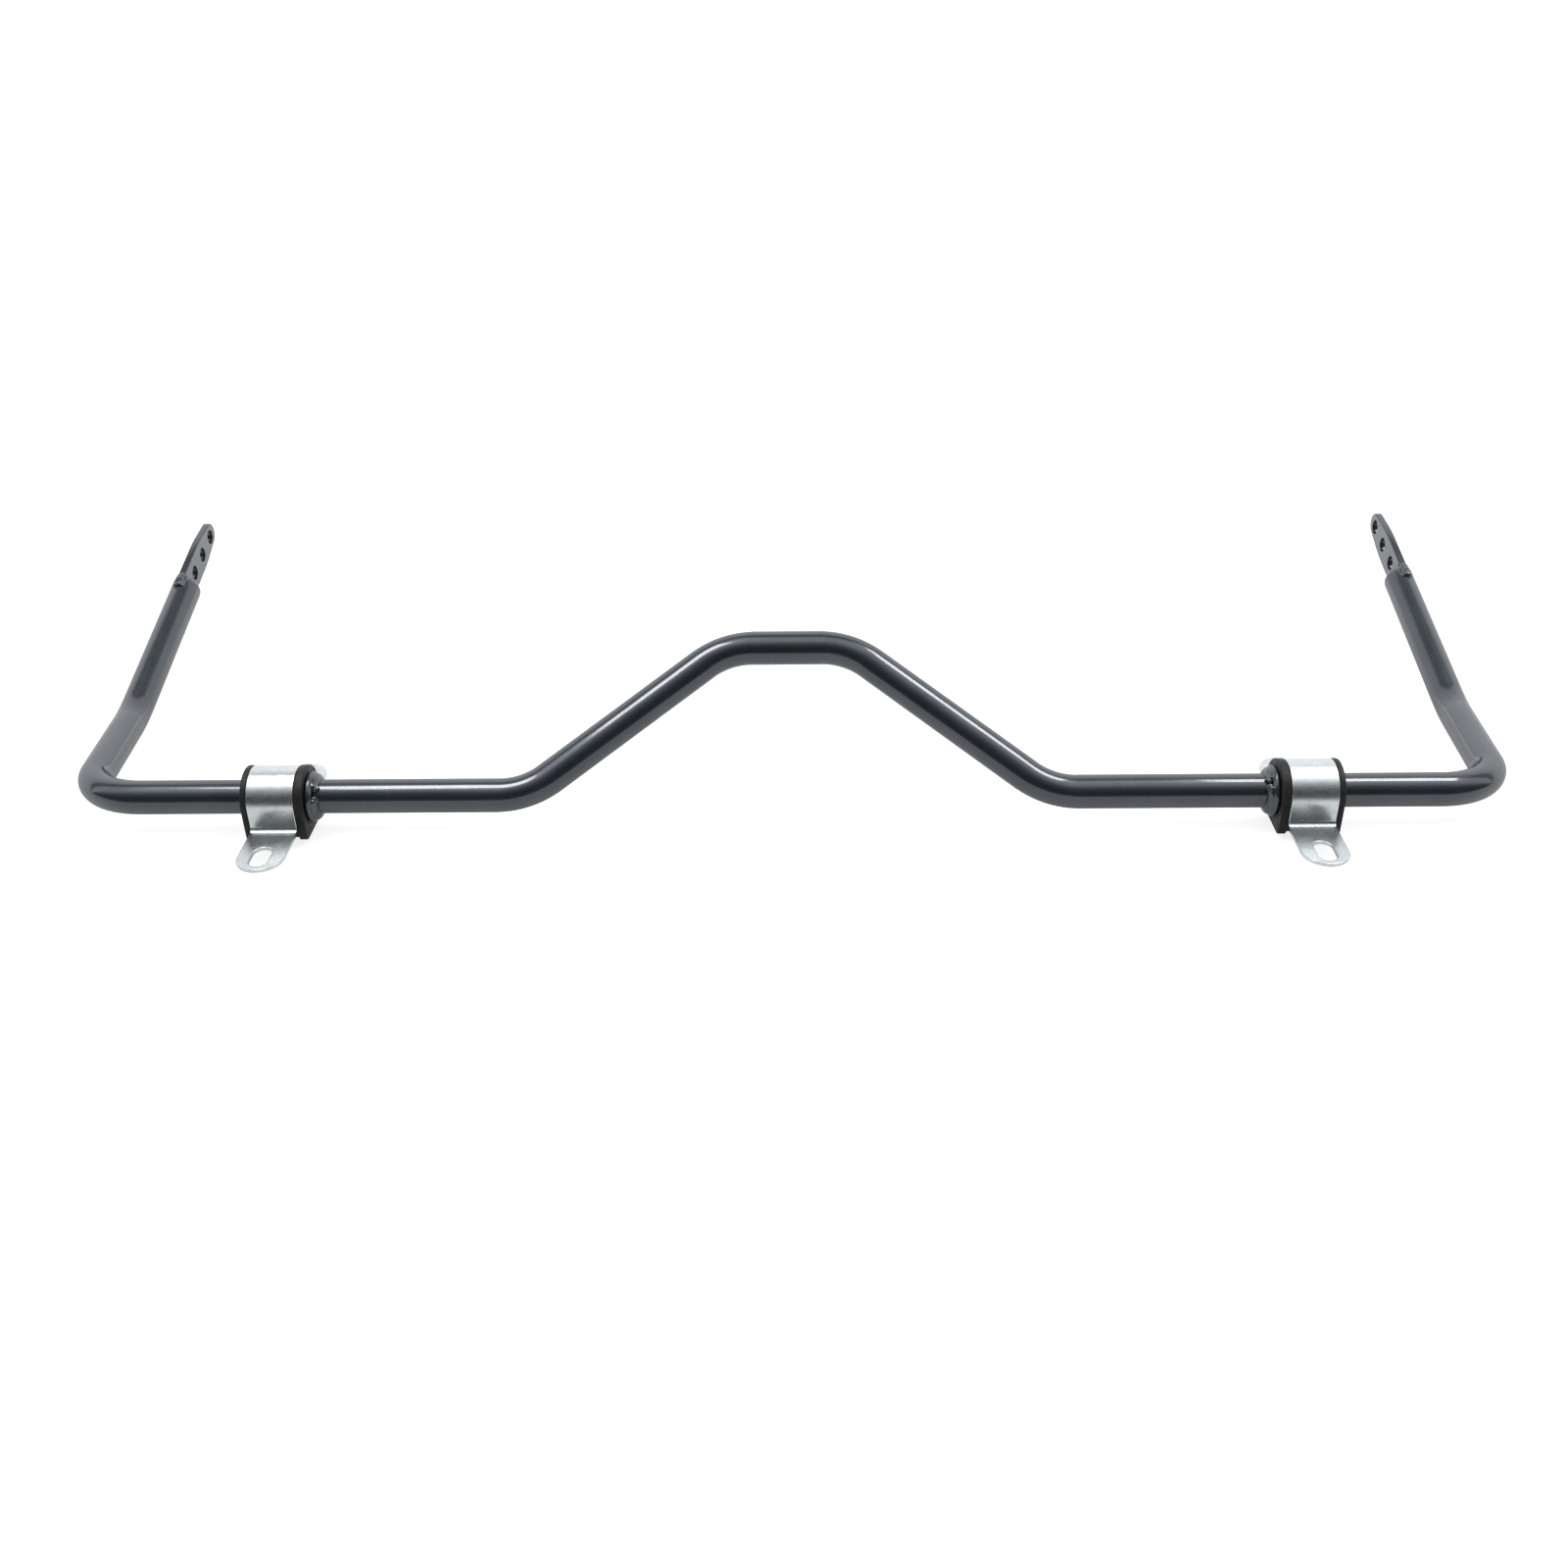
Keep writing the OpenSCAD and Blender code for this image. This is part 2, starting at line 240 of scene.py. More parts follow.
class Nodes:
    """Short calls for building a node material."""

    def __init__(self, name, metallic, roughness):
        self.material = bpy.data.materials.new(name)
        self.material.use_nodes = True
        self.tree = self.material.node_tree
        self.shader = self.tree.nodes["Principled BSDF"]
        self.shader.inputs["Metallic"].default_value = metallic
        self.shader.inputs["Roughness"].default_value = roughness
        self.coords = self.tree.nodes.new("ShaderNodeTexCoord").outputs["Object"]

    def link(self, source, target):
        self.tree.links.new(source, target)

    def into(self, socket, source):
        self.link(source, self.shader.inputs[socket])

    def stretched(self, scale):
        """Coordinates stretched along an axis."""
        node = self.tree.nodes.new("ShaderNodeMapping")
        node.inputs["Scale"].default_value = scale
        self.link(self.coords, node.inputs["Vector"])
        return node.outputs["Vector"]

    def noise(self, per_metre, detail=3, roughness=0.5, coords=None):
        node = self.tree.nodes.new("ShaderNodeTexNoise")
        node.inputs["Scale"].default_value = per_metre
        node.inputs["Detail"].default_value = detail
        node.inputs["Roughness"].default_value = roughness
        self.link(coords or self.coords, node.inputs["Vector"])
        return node.outputs["Fac"]

    def cells(self, per_metre, feature="F1"):
        node = self.tree.nodes.new("ShaderNodeTexVoronoi")
        node.feature = feature
        node.inputs["Scale"].default_value = per_metre
        self.link(self.coords, node.inputs["Vector"])
        return node.outputs

    def ramp(self, source, *stops):
        """Colours or greys at places from 0 to 1."""
        node = self.tree.nodes.new("ShaderNodeValToRGB")
        elements = node.color_ramp.elements
        while len(elements) < len(stops):
            elements.new(0.5)
        for element, (place, colour) in zip(elements, stops):
            element.position = place
            grey = isinstance(colour, (int, float))
            element.color = (colour, colour, colour, 1) if grey else (*colour, 1)
        self.link(source, node.inputs["Fac"])
        return node.outputs["Color"]

    def mix(self, factor, a, b, blend="MIX"):
        node = self.tree.nodes.new("ShaderNodeMix")
        node.data_type = "RGBA"
        node.blend_type = blend
        if isinstance(factor, (int, float)):
            node.inputs["Factor"].default_value = factor
        else:
            self.link(factor, node.inputs["Factor"])
        for socket, source in ((6, a), (7, b)):
            self.link(source, node.inputs[socket])
        return node.outputs[2]

    def bump(self, *layers):
        """Stacks bumps, each a (height, strength, distance in metres)."""
        last = None
        for height, strength, distance in layers:
            node = self.tree.nodes.new("ShaderNodeBump")
            node.inputs["Strength"].default_value = strength
            node.inputs["Distance"].default_value = distance
            self.link(height, node.inputs["Height"])
            if last:
                self.link(last, node.inputs["Normal"])
            last = node.outputs["Normal"]
        self.into("Normal", last)


def coated_steel(name, dark, light, rough_low, rough_high, lumps):
    """Dark metallic powder coat: flakes and faint clouds under a clear top that shines less edge-on."""
    m = Nodes(name, metallic=0.75, roughness=0.35)
    flakes = m.cells(1700)["Color"]
    cloud = m.noise(40, detail=4)
    base = m.ramp(cloud, (0.3, dark), (0.7, light))
    glint = m.ramp(flakes, (0.0, 0.8), (0.8, 1.0), (1.0, 1.5))
    m.into("Base Color", m.mix(1.0, base, glint, "MULTIPLY"))
    m.into("Roughness", m.ramp(m.noise(300, detail=4), (0.3, rough_low), (0.7, rough_high)))
    m.shader.inputs["Specular Tint"].default_value = (0.3, 0.32, 0.34, 1)
    edge_on = m.tree.nodes.new("ShaderNodeLayerWeight").outputs["Facing"]
    m.into("Coat Weight", m.ramp(edge_on, (0.55, 1.0), (0.85, 0.4)))
    m.into("Coat Roughness", m.ramp(m.noise(900, detail=2), (0.3, 0.06), (0.7, 0.11)))
    m.bump((m.noise(300, detail=2), lumps, 0.0004), (m.noise(1500, detail=2), 0.1, 0.00004))
    return m.material


def polyurethane():
    """Moulded black polyurethane: matt, slightly brown, with a fine mould grain and dust in places."""
    m = Nodes("polyurethane", metallic=0, roughness=0.5)
    dust = m.noise(70, detail=5)
    m.into("Base Color", m.ramp(dust, (0.35, (0.006, 0.0055, 0.0055)), (0.75, (0.015, 0.013, 0.0125))))
    m.into("Roughness", m.ramp(m.noise(160, detail=4), (0.3, 0.45), (0.7, 0.62)))
    m.shader.inputs["Specular IOR Level"].default_value = 0.27
    m.bump((m.noise(380, detail=4), 0.3, 0.0003), (m.noise(3000, detail=2), 0.2, 0.0001))
    return m.material


def zinc_plate():
    """Bright zinc plating over rolled steel: faint blue-grey mottling, a fine grain and rolling streaks."""
    m = Nodes("zinc_plate", metallic=1, roughness=0.2)
    blotches = m.noise(150, detail=6, roughness=0.7)
    mottle = m.ramp(blotches, (0.3, (0.56, 0.60, 0.61)), (0.7, (0.67, 0.68, 0.68)))
    rolled = m.noise(300, detail=3, coords=m.stretched((5, 0.4, 0.4)))
    streaks = m.ramp(rolled, (0.3, 0.93), (0.7, 1.0))
    grain = m.ramp(m.noise(750, detail=3, roughness=0.7), (0.35, 0.82), (0.6, 1.0))
    m.into("Base Color", m.mix(1.0, m.mix(1.0, mottle, streaks, "MULTIPLY"), grain, "MULTIPLY"))
    m.into("Roughness", m.ramp(m.noise(120, detail=6, roughness=0.7), (0.25, 0.25), (0.75, 0.33)))
    m.bump(
        (m.noise(260, detail=3, coords=m.stretched((5, 0.5, 0.5))), 0.05, 0.0001),
        (m.noise(900, detail=4, roughness=0.7), 0.12, 0.00008),
    )
    return m.material


COAT_DARK = (0.034, 0.040, 0.048)
MATERIALS = {
    "powder_coat": coated_steel("powder_coat", COAT_DARK, (0.042, 0.049, 0.058), 0.3, 0.38, 0.015),
    "coated_weld": coated_steel("coated_weld", COAT_DARK, (0.052, 0.059, 0.068), 0.24, 0.34, 0.3),
    "polyurethane": polyurethane(),
    "zinc_plate": zinc_plate(),
}


# ---------------------------------------------------------------- bar

BEND_STEP = math.radians(2)
STRAIGHT_STEP = 10.0
BEND_FLATTENING = 0.02


def flip(v):
    return Vector((-v.x, v.y, v.z))


def bend_route(before, vertex, after, radius):
    """Centres round a bend, each with the direction of the bend's inside and how deep in the bend it is."""
    come = unit(vertex - before)
    go = unit(after - vertex)
    angle = come.angle(go)
    normal = unit(come.cross(go))
    inward = normal.cross(come)
    centre = vertex - come * radius * math.tan(angle / 2) + inward * radius
    count = round(angle / BEND_STEP)
    route = []
    for i in range(count + 1):
        turn = Matrix.Rotation(angle * i / count, 3, normal)
        depth = math.sin(math.pi * i / count) ** 0.5
        route.append((centre - turn @ inward * radius, turn @ inward, depth))
    return route


def bar_route():
    """The bar's centre line from the left end to the right end."""
    right = [HUMP_TOP, HUMP_FOOT, CORNER, ELBOW]
    radii = [HUMP_BEND_R, HUMP_BEND_R, CORNER_BEND_R, ELBOW_BEND_R]
    points = [flip(BAR_END)] + [flip(v) for v in reversed(right)] + right + [BAR_END]
    route = []
    for i, radius in enumerate(radii[::-1] + radii):
        route += bend_route(points[i], points[i + 1], points[i + 2], radius)
    return route


def fill_straights(route):
    """Adds centres along the straights between bends."""
    filled = [route[0]]
    for (a, _, _), (b, inward, depth) in zip(route, route[1:]):
        steps = max(1, math.ceil((b - a).length / STRAIGHT_STEP))
        filled += [(a.lerp(b, i / steps), inward, 0) for i in range(1, steps)]
        filled.append((b, inward, depth))
    return filled


def nose_rings():
    """How far before the bar's end, and at what radius, each ring of its rounded nose lies."""
    steps = 10
    turns = [math.pi / 2 * i / steps for i in range(steps + 1)]
    return [(NOSE_R * (1 - math.sin(a)), BAR_R - NOSE_R * (1 - math.cos(a))) for a in turns]


def make_bar():
    around = 96
    bends = fill_straights(bar_route())
    arm_run = (BAR_END - bends[-1][0]).length
    arm_steps = 14
    stations = []
    for i, (p, inward, depth) in enumerate(bends):
        a, b = bends[max(i - 1, 0)][0], bends[min(i + 1, len(bends) - 1)][0]
        stations.append((p, unit(b - a), inward, depth, BAR_R))
    tail = [(arm_run - NOSE_R) * i / arm_steps for i in range(1, arm_steps)]
    tail = [(BAR_END - ARM_DIR * (arm_run - run), BAR_R) for run in tail]
    tail += [(BAR_END - ARM_DIR * back, radius) for back, radius in nose_rings()]
    for p, radius in tail:
        stations.append((p, ARM_DIR, ARM_UP, 0, radius))
    for p, radius in tail:
        stations.insert(0, (flip(p), -flip(ARM_DIR), ARM_UP, 0, radius))
    rings = []
    side = Vector((0, 0, 1))
    for p, along, inward, depth, radius in stations:
        side = unit(side - along * side.dot(along))
        other = along.cross(side)
        ring = []
        for j in range(around):
            a = 2 * math.pi * j / around
            out = side * math.cos(a) + other * math.sin(a)
            squeeze = 1 - BEND_FLATTENING * depth * out.dot(inward) ** 2
            ring.append(p + out * radius * squeeze)
        rings.append(ring)
    bar = object_from_bmesh("bar_swept", loft(rings))
    for side_name, sign in SIDES.items():
        cut(bar, end_slot_cutter(side_name, sign))
    mark_creases(bar)
    keep_piece(bar, "bar", "powder_coat", "torsion_bar")


def end_slot_cutter(side_name, sign):
    """A block as big as the slot in the end of the bar that takes the blade."""
    half_t = BLADE_T / 2 + SLOT_GAP
    start = BAR_END_RUN - SLOT_DEPTH
    rings = []
    for run in (start, BAR_END_RUN + 5):
        rings.append([blade_point(run, up, out) for up, out in
                      ((-BLADE_W, -half_t), (-BLADE_W, half_t), (BLADE_W, half_t), (BLADE_W, -half_t))])
    return object_from_bmesh(f"{side_name}_slot_cutter", loft(rings), sign)


def mark_creases(obj, sharp_deg=35):
    """Shades a cut mesh again, since the cut leaves new edges."""
    bm = bmesh.new()
    bm.from_mesh(obj.data)
    shade(bm, sharp_deg)
    bm.to_mesh(obj.data)
    bm.free()


# ---------------------------------------------------------------- blades and flat plates

def arc(centre_x, centre_y, radius, start_deg, end_deg, step_deg=5):
    """Points round an arc, its ends included."""
    count = max(2, round(abs(end_deg - start_deg) / step_deg))
    turns = [math.radians(start_deg + (end_deg - start_deg) * i / count) for i in range(count + 1)]
    return [Vector((centre_x + radius * math.cos(a), centre_y + radius * math.sin(a))) for a in turns]


def inset(outline, depth):
    """Moves a closed outline to its left by a depth, which is inward if it runs anticlockwise."""
    moved = []
    for i, p in enumerate(outline):
        come = unit(p - outline[i - 1])
        go = unit(outline[(i + 1) % len(outline)] - p)
        normal = Vector((-(come.y + go.y), come.x + go.x))
        moved.append(p + normal * (2 * depth / max(normal.length_squared, 0.5)))
    return moved


def plate(outlines, thickness, edge_r, hole_edge_r, edge_steps=4):
    """A flat plate with rounded rims, z through its middle. The rim runs anticlockwise and holes clockwise.

    A narrow flat border inside each rim keeps the rim's shading off the flat faces.
    """
    border = 0.4
    turns = [math.pi / 2 * i / edge_steps for i in range(edge_steps + 1)]
    bm = bmesh.new()
    bottom, top = [], []
    for i, outline in enumerate(outlines):
        round_r = hole_edge_r if i else edge_r
        upper = [(round_r * (1 - math.cos(a)), thickness / 2 - round_r * (1 - math.sin(a))) for a in turns]
        upper.append((round_r + border, thickness / 2))
        levels = [(depth, -z) for depth, z in reversed(upper)] + upper
        rows = [[bm.verts.new((p.x, p.y, z)) for p in inset(outline, depth)] for depth, z in levels]
        count = len(outline)
        for low, high in zip(rows, rows[1:]):
            for j in range(count):
                k = (j + 1) % count
                bm.faces.new((low[j], low[k], high[k], high[j]))
        for row, rim in ((rows[0], bottom), (rows[-1], top)):
            rim += [bm.edges.get((row[j], row[(j + 1) % count])) for j in range(count)]
    for rim in (bottom, top):
        bmesh.ops.triangle_fill(bm, use_beauty=True, use_dissolve=False, edges=rim)
    return bm


def blade_outline():
    """Outline of a blade, x along the upper arm from the elbow: square heel, shoulders and round tip."""
    heel_r = 2.0
    blend_r = 150.0
    start = BAR_END_RUN - SLOT_DEPTH + SLOT_GAP
    half = BLADE_W / 2
    shoulder = LINK_RUN + 29
    tip = LINK_RUN + 2 * LINK_PITCH + 4.2
    slope = math.atan2(half, tip - shoulder) - math.asin(TIP_R / math.hypot(tip - shoulder, half))
    turn = math.degrees(slope)
    lower = arc(shoulder - blend_r * math.tan(slope / 2), blend_r - half, blend_r, -90, turn - 90, 3)
    upper = [Vector((p.x, -p.y)) for p in reversed(lower)]
    return (
        arc(start + heel_r, half - heel_r, heel_r, 90, 180, 30)
        + arc(start + heel_r, heel_r - half, heel_r, 180, 270, 30)
        + lower
        + arc(tip, 0, TIP_R, turn - 90, 90 - turn)
        + upper
    )


def make_blade(side_name, sign):
    holes = [arc(LINK_RUN + i * LINK_PITCH, 0, LINK_HOLE_R, 360, 5) for i in range(3)]
    bm = plate([blade_outline()] + holes, BLADE_T, edge_r=1.2, hole_edge_r=0.5)
    for vert in bm.verts:
        vert.co = blade_point(vert.co.x, vert.co.y, vert.co.z)
    blade = object_from_bmesh(f"{side_name}_blade_plate", bm, sign, sharp_deg=30)
    keep_piece(blade, "bar", "powder_coat", f"{side_name}_end_blade")


# ---------------------------------------------------------------- welds

ARM_AXES = (ARM_DIR, ARM_UP, SIDEWAYS)
# Run, height over the bar, distance out and radii of the puddles round the crater that starts a blade weld
CRATER = (
    (-1.6, -0.9, 0.0, (3.0, 3.0, 4.2)),
    (1.0, 1.6, -1.7, (2.2, 1.7, 2.3)),
    (3.2, 2.0, 1.3, (2.4, 1.6, 1.9)),
    (-1.6, 0.9, 1.5, (1.9, 1.7, 2.2)),
    (7.0, 2.1, -0.9, (1.8, 1.4, 1.6)),
)
# Degrees from the end, distance from the ring, height over the bar and radius of a ring weld's end lumps
RING_WELD_LUMPS = (
    (2, 1.5, 2.0, 2.3),
    (7, 3.0, 1.0, 1.9),
    (9, 0.8, 3.5, 1.7),
    (14, 2.3, 1.9, 1.5),
)


def add_puddle(bm, centre, radii, axes):
    """Adds a stretched ball of weld metal, with a radius along each of three axes."""
    ball = bmesh.ops.create_icosphere(bm, subdivisions=3, radius=1)
    for vert in ball["verts"]:
        offset = vert.co.copy()
        vert.co = centre + sum((axis * (v * r) for axis, v, r in zip(axes, offset, radii)), Vector())


def wander(*seed):
    """A repeatable number between about -1 and 1."""
    return noise.noise(Vector(seed)) * 1.6


def melt_together(obj, voxel_mm, smoothing):
    """Runs overlapping balls into one smooth closed bead."""
    remesh = obj.modifiers.new("melt", "REMESH")
    remesh.mode = "VOXEL"
    remesh.voxel_size = voxel_mm * MM
    smooth = obj.modifiers.new("smooth", "SMOOTH")
    smooth.factor = 0.5
    smooth.iterations = smoothing
    bake_modifiers(obj)
    mark_creases(obj, 180)


def make_blade_weld(side_name, sign, level, edge):
    """The bead over one edge of the blade and down both faces, with a lumpy crater at the heel."""
    first = BAR_END_RUN - SLOT_DEPTH - 1.5
    step = 1.5
    count = 10
    bm = bmesh.new()
    for i in range(count):
        run = first + i * step
        taper = 1 - 0.35 * (i / (count - 1)) ** 3
        for face in (-1, -0.35, 0.35, 1):
            uneven = wander(i * 0.33, face * 3.1, sign * 5.3 + edge)
            swell = (2.4 + 0.4 * uneven) * taper
            over_bar = 0.9 if abs(face) < 1 else -1.2
            up = BAR_R + over_bar + 0.3 * wander(i * 0.31, face * 7.7, sign + edge)
            add_puddle(bm, blade_point(run, edge * up, face * 3.3), (swell + 0.6, swell, swell), ARM_AXES)
    for run, up, out, radii in CRATER:
        add_puddle(bm, blade_point(first + run, edge * (BAR_R + up), out), radii, ARM_AXES)
    weld = object_from_bmesh(f"{side_name}_{level}_blade_bead", bm, sign, 180)
    melt_together(weld, 0.25, 50)
    keep_piece(weld, "bar", "coated_weld", f"{side_name}_{level}_blade_weld")


def make_ring_weld(side_name, sign, level):
    """One of the two passes that fill the corner behind the ring: smooth, with lumps at each end."""
    middle, gap = RING_WELD_GAPS[side_name]
    start_deg = middle + gap / 2 + (0 if level == "upper" else 180)
    sweep = 180 - gap
    bead_height = RING_R - 1.4 - BAR_R
    root = 0.4
    sunk = 1.0
    face_steps = 14
    inner_face = reach_mm(f"{side_name}_lock_ring")[0]

    def ring_point(x, r, along):
        angle = math.radians(start_deg + along)
        return Vector((inner_face - x, -r * math.cos(angle), r * math.sin(angle)))

    rings = []
    for along in range(sweep + 1):
        from_end = min(along, sweep - along)
        closing = math.sqrt(max(0.0, 1 - max(0.0, 1 - from_end / 7) ** 2))
        size = (0.97 + 0.03 * wander(along * 0.05, sign, start_deg)) * max(closing, 0.3)
        section = [(-sunk, BAR_R - root), (-sunk, BAR_R + bead_height * size + 0.1)]
        for j in range(face_steps + 1):
            share = j / face_steps
            turn = math.pi / 2 * share
            r = bead_height * (0.5 * math.cos(turn) + 0.5 * (1 - share))
            x = RING_WELD_LEN * (0.5 * math.sin(turn) + 0.5 * share)
            section.append((x * size, BAR_R + r * size))
        section.append((RING_WELD_LEN * size, BAR_R - root))
        rings.append([ring_point(x, r, along) for x, r in section])
    bm = loft(rings)
    for along, x, height, radius in RING_WELD_LUMPS:
        for place in (along, sweep - along):
            angle = math.radians(start_deg + place)
            outward = Vector((0, -math.cos(angle), math.sin(angle)))
            around = Vector((0, math.sin(angle), math.cos(angle)))
            swell = radius * (1 + 0.15 * wander(place * 0.7, sign * 2.3, x))
            at = ring_point(x, BAR_R + height, place)
            add_puddle(bm, at, (swell, swell * 1.1, swell * 0.8), (SIDEWAYS, around, outward))
    weld = object_from_bmesh(f"{side_name}_{level}_ring_bead", bm, sign, 180)
    melt_together(weld, 0.25, 24)
    keep_piece(weld, "bar", "coated_weld", f"{side_name}_{level}_ring_weld")


# ---------------------------------------------------------------- lock rings

def round_corner(corner, come, go, radius, steps=4):
    """Points round the corner of a profile in place of a sharp point."""
    a, b = unit(come - corner), unit(go - corner)
    points = []
    for i in range(steps + 1):
        t = i / steps
        points.append(corner + a * radius * (1 - t) ** 2 + b * radius * t ** 2)
    return points


def rounded_profile(corners):
    """A closed profile from (point, corner radius) pairs."""
    points = []
    for i, (corner, radius) in enumerate(corners):
        come, go = corners[i - 1][0], corners[(i + 1) % len(corners)][0]
        points += round_corner(corner, come, go, radius) if radius else [corner]
    return points


def make_lock_ring(side_name, sign):
    bevel = 2.2
    bore = BAR_R + 0.05
    profile = rounded_profile([
        (Vector((0, bore)), 0.3),
        (Vector((0, RING_R)), RING_EDGE_R),
        (Vector((RING_W - bevel, RING_R)), 0.8),
        (Vector((RING_W, RING_R - bevel)), 0.5),
        (Vector((RING_W, bore)), 0.3),
    ])
    outer_face = reach_mm(f"{side_name}_lock_ring")[1]
    rings = []
    for i in range(120):
        a = 2 * math.pi * i / 120
        rings.append([Vector((outer_face - p.x, -p.y * math.cos(a), p.y * math.sin(a))) for p in profile])
    ring = object_from_bmesh(f"{side_name}_ring_turned", loft(rings, closed=True), sign, 50)
    keep_piece(ring, "bar", "powder_coat", f"{side_name}_lock_ring")


# ---------------------------------------------------------------- bushings

def outline_reach(radius, angle):
    """Distance from the bar axis to the bushing's outline, round above and flat below.

    The angle is taken from the front, up over the bar.
    """
    up = math.sin(angle)
    if up >= 0:
        return radius
    across = abs(math.cos(angle))
    corner_y = radius - BUSHING_CORNER_R
    corner_z = BUSHING_BASE - BUSHING_CORNER_R
    if across * corner_z > -up * radius:
        return radius / across
    if across * BUSHING_BASE < -up * corner_y:
        return BUSHING_BASE / -up
    along = across * corner_y - up * corner_z
    off = corner_y ** 2 + corner_z ** 2 - along ** 2
    return along + math.sqrt(max(0.0, BUSHING_CORNER_R ** 2 - off))


def bushing_profile(flange_w):
    """Half of the bushing's lengthwise profile, from the bore over the end face and flange to the middle.

    Each point is (x, radius, share): share 0 keeps the radius, 1 follows the outline of that radius.
    """
    half = BUSHING_LEN / 2
    face = [
        (half - 1.0, BUSHING_BORE_R, 0),
        (half - 0.3, BUSHING_BORE_R + 0.25, 0),
        (half, BUSHING_BORE_R + 1.0, 0),
    ]
    ridge_from, ridge_to, ridges = 14.6, 22.0, 4
    groove = 0.38
    steps_each = 8
    steps = ridges * steps_each
    for i in range(steps + 1):
        r = ridge_from + (ridge_to - ridge_from) * i / steps
        dip = 0.5 * (1 - math.cos(2 * math.pi * i / steps_each))
        face.append((half - groove * dip ** 3, r, 0))
    edge = 0.7
    turns = [math.pi / 2 * i / 4 for i in range(5)]
    for a in turns:
        face.append((half - edge + edge * math.cos(a), BUSHING_FLANGE_R - edge + edge * math.sin(a), 1))
    inner = half - flange_w
    for a in turns:
        face.append((inner + 0.5 - 0.5 * math.sin(a), BUSHING_FLANGE_R - 0.5 + 0.5 * math.cos(a), 1))
    face += [(inner, BUSHING_CORE_R + 0.3, 1), (inner - 0.3, BUSHING_CORE_R, 1), (0.0, BUSHING_CORE_R, 1)]
    return face


def make_bushing(side_name, sign):
    """The bushing is a profile carried round the bar from one side of its slit to the other.

    The slit is at the front on the right and at the back on the left.
    """
    near = bushing_profile(BUSHING_OUTER_FLANGE_W)
    far = [(-x, r, share) for x, r, share in reversed(bushing_profile(BUSHING_INNER_FLANGE_W)[:-1])]
    profile = near + far
    middle = sum(reach_mm(f"{side_name}_bushing")) / 2
    turns = [2 * math.pi * i / 240 for i in range(241)]
    corner = math.atan2(BUSHING_BASE, BUSHING_FLANGE_R)
    for centre in (math.pi + corner, 2 * math.pi - corner):
        turns += [centre + math.radians(0.5 * i + 0.25) for i in range(-20, 20)]
    rings = []
    for turn in sorted(turns):
        ring = []
        for x, r, share in profile:
            slit = math.asin(SLIT_HALF / r)
            angle = min(max(turn, slit), 2 * math.pi - slit)
            seen = angle if sign > 0 else math.pi - angle
            reach = outline_reach(r, seen) if share else r
            ring.append(Vector((middle + x, -reach * math.cos(seen), reach * math.sin(seen))))
        rings.append(ring)
    bushing = object_from_bmesh(f"{side_name}_bushing_moulded", loft(rings), sign, 50)
    keep_piece(bushing, f"{side_name}_bushing_body", "polyurethane", f"{side_name}_bushing")


# ---------------------------------------------------------------- saddle brackets

STRAP_MID_R = STRAP_R + STRAP_T / 2
BEND_MID_R = EAR_BEND_R + STRAP_T / 2
LEG = EAR_DROP - STRAP_T - EAR_BEND_R
EAR_START_Y = STRAP_R + STRAP_T + EAR_BEND_R
ARCH_END = STRAP_MID_R * math.pi / 2
LEG_END = ARCH_END + LEG
BEND_END = LEG_END + BEND_MID_R * math.pi / 2


def strap_fold(run, lift):
    """Where a point of the flat strap goes: run from the arch's top, lift out of the sheet's middle."""
    way = 1 if run >= 0 else -1
    run = abs(run)
    if run < ARCH_END:
        a = run / STRAP_MID_R
        y, z = (STRAP_MID_R + lift) * math.sin(a), (STRAP_MID_R + lift) * math.cos(a)
    elif run < LEG_END:
        y, z = STRAP_MID_R + lift, ARCH_END - run
    elif run < BEND_END:
        a = (run - LEG_END) / BEND_MID_R
        y = EAR_START_Y - (BEND_MID_R - lift) * math.cos(a)
        z = -LEG - (BEND_MID_R - lift) * math.sin(a)
    else:
        y, z = EAR_START_Y + run - BEND_END, -EAR_DROP + STRAP_T / 2 + lift
    return way * y, z


def bracket_outlines():
    """The flat strap, x along the bracket's run and y across it, with its two slots."""
    half = STRAP_W / 2
    reach = BEND_END + SLOT_REACH - EAR_START_Y
    rim = arc(reach, 0, half, -90, 90, 4) + arc(-reach, 0, half, 90, 270, 4)
    slots = []
    for way in (-1, 1):
        far = SLOT_LEN / 2 - SLOT_R
        slots.append(
            arc(way * reach + far, 0, SLOT_R, 90, -90, 6) + arc(way * reach - far, 0, SLOT_R, -90, -270, 6)
        )
    return [rim] + slots


def fold_lines():
    """Runs at which the flat strap needs an edge across it to bend smoothly."""
    lines = [ARCH_END * i / 30 for i in range(31)]
    lines += [LEG_END - LEG * i / 4 for i in range(4)]
    lines += [LEG_END + (BEND_END - LEG_END) * i / 10 for i in range(1, 11)]
    return sorted(set(lines + [-line for line in lines]))


def make_bracket(side_name, sign):
    bm = plate(bracket_outlines(), STRAP_T, edge_r=0.6, hole_edge_r=0.6)
    for line in fold_lines():
        bmesh.ops.bisect_plane(
            bm, geom=bm.verts[:] + bm.edges[:] + bm.faces[:], dist=1e-5,
            plane_co=(line, 0, 0), plane_no=(1, 0, 0),
        )
    middle = sum(reach_mm(f"{side_name}_saddle_bracket")) / 2
    for vert in bm.verts:
        run, across, lift = vert.co
        y, z = strap_fold(run, lift)
        vert.co = Vector((middle + across, y, z))
    bracket = object_from_bmesh(f"{side_name}_bracket_strap", bm, sign, 40)
    keep_piece(bracket, f"{side_name}_bracket_body", "zinc_plate", f"{side_name}_saddle_bracket")


# ---------------------------------------------------------------- stage, light and camera

